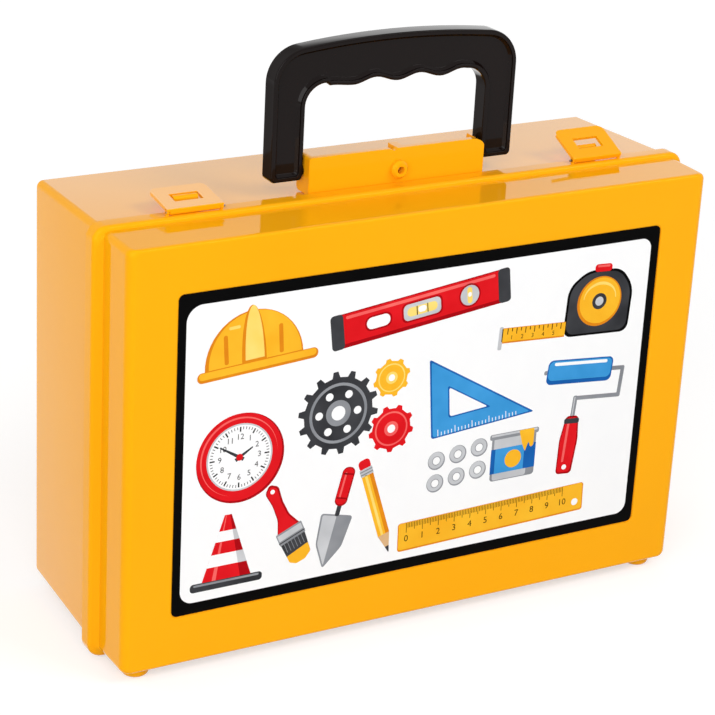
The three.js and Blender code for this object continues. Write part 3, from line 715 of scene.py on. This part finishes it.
def set_square(seat):
    """A set square with an open middle and a scale along its foot."""
    press_all(seat, [
        ("blue", 1, polygon([(-30, -21), (31, -21), (-30, 23)], rounding=1.6)),
        ("sky", 2, polygon([(-29, -20.2), (28.4, -20.2), (-29, 21.2)], rounding=1.4)),
        ("blue", 3, polygon([(-19.8, -11.8), (5.4, -11.8), (-19.8, 6.4)], rounding=1.6)),
        ("white", 4, polygon([(-19, -11), (3.2, -11), (-19, 5.0)], rounding=1.4)),
    ])
    lengths = [3.6 if step % 5 == 0 else 2 for step in range(24)]
    press_marks(seat, "white", 4, 0.4, lengths, first=-26, pitch=2, foot=-20.2, upward=True)


def paint_roller(seat):
    """A paint roller, whose wire has every other stretch a little lower where they cross."""
    press_all(seat, [
        ("blue", 2, slab(42, 14, at=(0, 24), rounding=3.2)),
        ("sky", 3, slab(40.5, 11, at=(0, 24.8), rounding=3)),
        ("white", 4, slab(34, 1.8, at=(0, 28.6), rounding=0.8)),
        ("grey", 1, slab(52, 2.4, at=(3, 24), rounding=1)),
        ("grey", 0.5, slab(2.4, 18, at=(28, 16.2), rounding=1)),
        ("grey", 1, slab(30, 2.4, at=(14.2, 8.2), rounding=1)),
        ("grey", 0.5, slab(2.8, 14, at=(0, 2.6), rounding=1)),
        ("silver", 2, slab(0.8, 12, at=(-0.3, 2.8), rounding=0.3)),
        ("deep_red", 2, polygon([
            (-4, -2), (4, -2), (6, -16), (5, -36), (-5, -36), (-6, -16),
        ], rounding=2.2)),
        ("red", 3, polygon([
            (-3.4, -3), (3.2, -3), (5, -16), (4, -35), (-4.4, -35), (-5.3, -16),
        ], rounding=2)),
        ("rose", 4, slab(1.5, 24, at=(-1.8, -17), rounding=0.7)),
        ("charcoal", 5, slab(9.6, 3, at=(0, -5), rounding=1)),
        ("white", 4, disc(1.5, at=(0, -32), sides=SMALL_DISC_SIDES)),
    ])


def traffic_cone(seat):
    """A cone with two white bands, darker towards its right side and with a glint on its left."""
    foot = -16
    foot_half_width = 14.2
    taper = 0.33
    heights = (0, 8, 15, 22, 28, 37)
    shade = (0.56, 1.0)
    glint = (-0.6, -0.44)

    def band(low, high, left=-1.0, right=1.0):
        """The cone between two heights, and between two shares of its half width."""
        half_low = foot_half_width - low * taper
        half_high = foot_half_width - high * taper
        return polygon([
            (left * half_low, foot + low), (right * half_low, foot + low),
            (right * half_high, foot + high), (left * half_high, foot + high),
        ])

    layers = [
        ("charcoal", 1, slab(42, 5, at=(0, -18.4), rounding=2)),
        ("grey", 2, slab(38, 1.2, at=(0, -17.2), rounding=0.5)),
        ("red", 3, band(heights[0], heights[-1])),
        ("white", 4, band(heights[1], heights[2])),
        ("white", 4, band(heights[3], heights[4])),
    ]
    for step, (low, high) in enumerate(zip(heights, heights[1:])):
        is_white = step % 2 == 1
        layers.append(("silver" if is_white else "deep_red", 5, band(low, high, *shade)))
        if not is_white:
            layers.append(("rose", 5, band(low, high, *glint)))
    press_all(seat, layers)


def paint_brush(seat):
    """A paint brush with its bristles down and paint on their ends."""
    press_all(seat, [
        ("deep_red", 1, polygon([
            (-8, -2), (8, -2), (4, 8), (3.4, 18), (4.6, 28), (0, 32), (-4.6, 28), (-3.4, 18), (-4, 8),
        ], rounding=1.8)),
        ("red", 2, polygon([
            (-7, -1), (6.4, -1), (2.8, 8), (2.2, 18), (3.4, 27.4), (0, 30.6), (-4, 27.4), (-2.9, 18),
            (-3.4, 8),
        ], rounding=1.6)),
        ("white", 3, disc(1.4, at=(0, 26.8), sides=SMALL_DISC_SIDES)),
        ("grey", 3, slab(17.4, 8, at=(0, -4.5), rounding=0.6)),
        ("silver", 4, slab(16, 4, at=(0, -3.6), rounding=0.4)),
        ("charcoal", 5, slab(17.6, 0.7, at=(0, -6.8))),
        ("charcoal", 2, polygon([
            (-8.2, -8), (8.2, -8), (7, -22), (2, -24.4), (-4, -24), (-7.4, -21.4),
        ], rounding=0.8)),
        ("yellow", 3, polygon([
            (-7.7, -17), (7.5, -16), (6.9, -22), (2, -24.8), (-4, -24.5), (-7.4, -21.6),
        ], rounding=0.8)),
    ])
    press_marks(seat, "grey", 3, 0.35, [6.4] * 6, first=-6, pitch=2.3, foot=-8.4)


def trowel(seat):
    """A pointing trowel with its blade down."""
    press_all(seat, [
        ("grey", 1, polygon([(-11, 6), (11, 6), (9, -14), (0, -29), (-9, -14)], rounding=2)),
        ("silver", 2, polygon([(-9.6, 5), (0, 5), (0, -27), (-8, -13.6)], rounding=1.2)),
        ("charcoal", 2, slab(3, 8, at=(0, 9), rounding=1)),
        ("deep_red", 3, slab(8.6, 25, at=(0, 24), rounding=3.8)),
        ("red", 4, slab(7.4, 23.4, at=(-0.2, 24.2), rounding=3.3)),
        ("rose", 5, slab(1.3, 17, at=(-1.6, 24.5), rounding=0.6)),
        ("deep_red", 5, slab(7.4, 1, at=(0, 16.5))),
        ("deep_red", 5, slab(7.4, 1, at=(0, 32))),
    ])


def pencil(seat):
    """A pencil with its point down and an eraser on top."""
    press_all(seat, [
        ("amber", 1, slab(8, 44, at=(0, 4))),
        ("yellow", 2, slab(5.4, 44, at=(-1.3, 4))),
        ("lemon", 3, slab(1.7, 44, at=(-1.0, 4))),
        ("silver", 3, slab(8.6, 5, at=(0, 28))),
        ("grey", 4, slab(8.6, 0.8, at=(0, 27))),
        ("grey", 4, slab(8.6, 0.8, at=(0, 29))),
        ("red", 2, slab(7.8, 7, at=(0, 33), rounding=2.4)),
        ("wood", 2, polygon([(-4, -18), (4, -18), (0.6, -29.5), (-0.6, -29.5)], rounding=0.2)),
        ("charcoal", 3, polygon([(-1.4, -26.8), (1.4, -26.8), (0.3, -31), (-0.3, -31)], rounding=0.1)),
    ])


def ruler(seat, length, numbers):
    """A ruler with ten marks between its numbers and a hole at its right end."""
    left_margin = 5
    right_margin = 13
    hole_margin = 5
    first = left_margin - length / 2
    pitch = (length - left_margin - right_margin) / numbers
    press_all(seat, [
        ("amber", 1, slab(length, 16, rounding=1.6)),
        ("yellow", 2, slab(length - 1.2, 14.8, at=(0, 0.3), rounding=1.2)),
        ("white", 3, disc(2, at=(length / 2 - hole_margin, -2.6), sides=SMALL_DISC_SIDES)),
    ])
    lengths = [5.4 if step % 10 == 0 else 4.2 if step % 5 == 0 else 2.8 for step in range(numbers * 10 + 1)]
    press_marks(seat, "black", 3, 0.32, lengths, first, pitch / 10, foot=7.6)
    press_numbers(seat, 3, 5, range(numbers + 1), first, pitch, y=-1.2)


def paint_tin(seat):
    """An open tin with paint that has run down its side."""
    press_all(seat, [
        ("grey", 1, slab(29, 28, rounding=2)),
        ("silver", 2, slab(22, 27, at=(-2, 0), rounding=1.4)),
        ("blue", 3, slab(29.4, 15, at=(0, -2))),
        ("sky", 4, slab(19, 15, at=(-2.4, -2))),
        ("yellow", 5, disc(5.4, at=(0, -2))),
        ("grey", 3, slab(32, 3.4, at=(0, 13), rounding=1.2)),
        ("silver", 4, slab(30, 1.2, at=(0, 13.7), rounding=0.5)),
        ("yellow", 5, polygon([
            (3, 14.5), (13, 14.5), (13, 4), (11, 3), (9.6, 7), (7.6, 1), (5.4, 6),
        ], rounding=1)),
    ])


def washers(seat):
    """Two rows of three washers."""
    pitch = 12.5
    lean = 1.5
    for step in range(6):
        row, column = divmod(step, 3)
        x = column * pitch
        y = column * lean - row * pitch
        press_all(seat, [
            ("grey", 1, disc(5, at=(x, y))),
            ("silver", 2, disc(4.5, at=(x - 0.2, y + 0.3))),
            ("grey", 3, disc(2.5, at=(x, y))),
            ("white", 4, disc(2.1, at=(x, y))),
        ])


white_panel()
hard_hat(seat_at(-95, 46, turn=4))
spirit_level(seat_at(-4, 58, turn=7))
tape_measure(seat_at(101, 46, turn=-3, scale=0.95))
dial(seat_at(-101, -4))
toothed_wheel(seat_at(-48, 10), radius=19, teeth=14, body="charcoal", face="grey", holes=6)
toothed_wheel(seat_at(-17.6, -3.5, turn=9), radius=11, teeth=9, body="red", face="rose")
toothed_wheel(seat_at(-19, 24, turn=3), radius=9, teeth=8, body="yellow", face="lemon")
set_square(seat_at(34, 10, turn=5))
paint_roller(seat_at(91, -13, turn=-5, scale=0.96))
traffic_cone(seat_at(-106, -53, scale=0.93))
paint_brush(seat_at(-73, -47, turn=24, scale=0.86))
trowel(seat_at(-47, -50, turn=-14, scale=0.84))
pencil(seat_at(-23, -47, turn=18, scale=0.84))
washers(seat_at(10, -26))
paint_tin(seat_at(56, -31, scale=0.92))
ruler(seat_at(46, -64, turn=1.5), length=112, numbers=10)

for ink, shape in ink_shapes.items():
    mesh = fill_mesh(bpy.data.meshes.new("print_" + ink), shape)
    add_piece("print_" + ink, mesh, ink_materials[ink], "lid")


# Studio
def seen_rays(tree):
    """One for what the camera sees, straight or in a reflection, and zero for what lights the object."""
    rays = tree.nodes.new("ShaderNodeLightPath")
    seen = math_node(tree, "MAXIMUM", rays.outputs["Is Camera Ray"], rays.outputs["Is Glossy Ray"])
    return math_node(tree, "MAXIMUM", seen, rays.outputs["Is Transmission Ray"])


def make_floor():
    """A pale floor that shows as white round the object and keeps its shadow."""
    material, tree, output = new_material("floor_pale")
    matt = add_node(tree, "ShaderNodeBsdfDiffuse", Color=FLOOR_COLOUR)
    glow = add_node(tree, "ShaderNodeEmission", Color=WHITE)
    away = add_node(tree, "ShaderNodeVectorMath", operation="LENGTH")
    link(tree, tree.nodes.new("ShaderNodeTexCoord").outputs["Object"], away.inputs[0])
    level = map_range(tree, away.outputs["Value"], FLOOR_FADE, (FLOOR_GLOW, FAR_FLOOR_GLOW), smooth=True)
    link(tree, math_node(tree, "MULTIPLY", seen_rays(tree), level), glow.inputs["Strength"])
    both = tree.nodes.new("ShaderNodeAddShader")
    link(tree, matt.outputs["BSDF"], both.inputs[0])
    link(tree, glow.outputs["Emission"], both.inputs[1])
    link(tree, both.outputs["Shader"], output)
    shape = bmesh.new()
    bmesh.ops.create_grid(shape, x_segments=1, y_segments=1, size=FLOOR_SIZE / 2)
    mesh = fill_mesh(bpy.data.meshes.new("floor"), shape)
    mesh.materials.append(material)
    floor = add_object("floor", mesh)


def make_world():
    """Soft light from all round, with a white backdrop for the camera and for reflections."""
    world = bpy.data.worlds.new("studio")
    bpy.context.scene.world = world
    world.use_nodes = True
    tree = world.node_tree
    tree.nodes.clear()
    output = tree.nodes.new("ShaderNodeOutputWorld")
    backdrop = add_node(tree, "ShaderNodeBackground", Color=WHITE)
    level = map_range(tree, seen_rays(tree), (0.0, 1.0), (WORLD_LEVEL, 1.0))
    link(tree, level, backdrop.inputs["Strength"])
    link(tree, backdrop.outputs["Background"], output.inputs["Surface"])


def bearing(azimuth, elevation):
    """The way from the case towards a lamp or the camera, from two angles in degrees."""
    turn = math.radians(azimuth)
    rise = math.radians(elevation)
    return Vector((math.sin(turn) * math.cos(rise), -math.cos(turn) * math.cos(rise), math.sin(rise)))


def softbox(name, azimuth, elevation, width, height, power, mirrored=True):
    """A soft lamp that faces the case, and stays out of its gloss where it isn't mirrored."""
    back = bearing(azimuth, elevation)
    data = bpy.data.lights.new(name, "AREA")
    data.shape = "RECTANGLE"
    data.size = width
    data.size_y = height
    data.energy = power
    lamp = add_object(name, data)
    lamp.location = CAMERA_TARGET + back * SOFTBOX_DISTANCE
    lamp.rotation_mode = "QUATERNION"
    lamp.rotation_quaternion = (-back).to_track_quat("-Z", "Y")
    lamp.visible_glossy = mirrored


def make_camera():
    """The camera that the photograph was taken with, as fitted."""
    back = bearing(CAMERA_AZIMUTH, CAMERA_ELEVATION)
    roll = math.radians(CAMERA_ROLL)
    right = Vector((0, 0, 1)).cross(back).normalized()
    up = back.cross(right)
    turned_right = right * math.cos(roll) + up * math.sin(roll)
    turned_up = up * math.cos(roll) - right * math.sin(roll)
    data = bpy.data.cameras.new("camera")
    data.lens = CAMERA_LENS
    data.sensor_width = CAMERA_SENSOR
    camera = add_object("camera", data)
    camera.matrix_world = (
        Matrix.Translation(CAMERA_TARGET + back * CAMERA_DISTANCE)
        @ Matrix((turned_right, turned_up, back)).transposed().to_4x4()
    )
    bpy.context.scene.camera = camera


make_floor()
make_world()
softbox("front_softbox", azimuth=-38, elevation=23, width=2.2, height=1.7, power=40)
softbox("upper_softbox", azimuth=39, elevation=43, width=1.2, height=0.7, power=16)
softbox("rear_softbox", azimuth=-145, elevation=15, width=1.6, height=1.2, power=13, mirrored=False)
make_camera()
bpy.context.scene.view_settings.view_transform = "Standard"
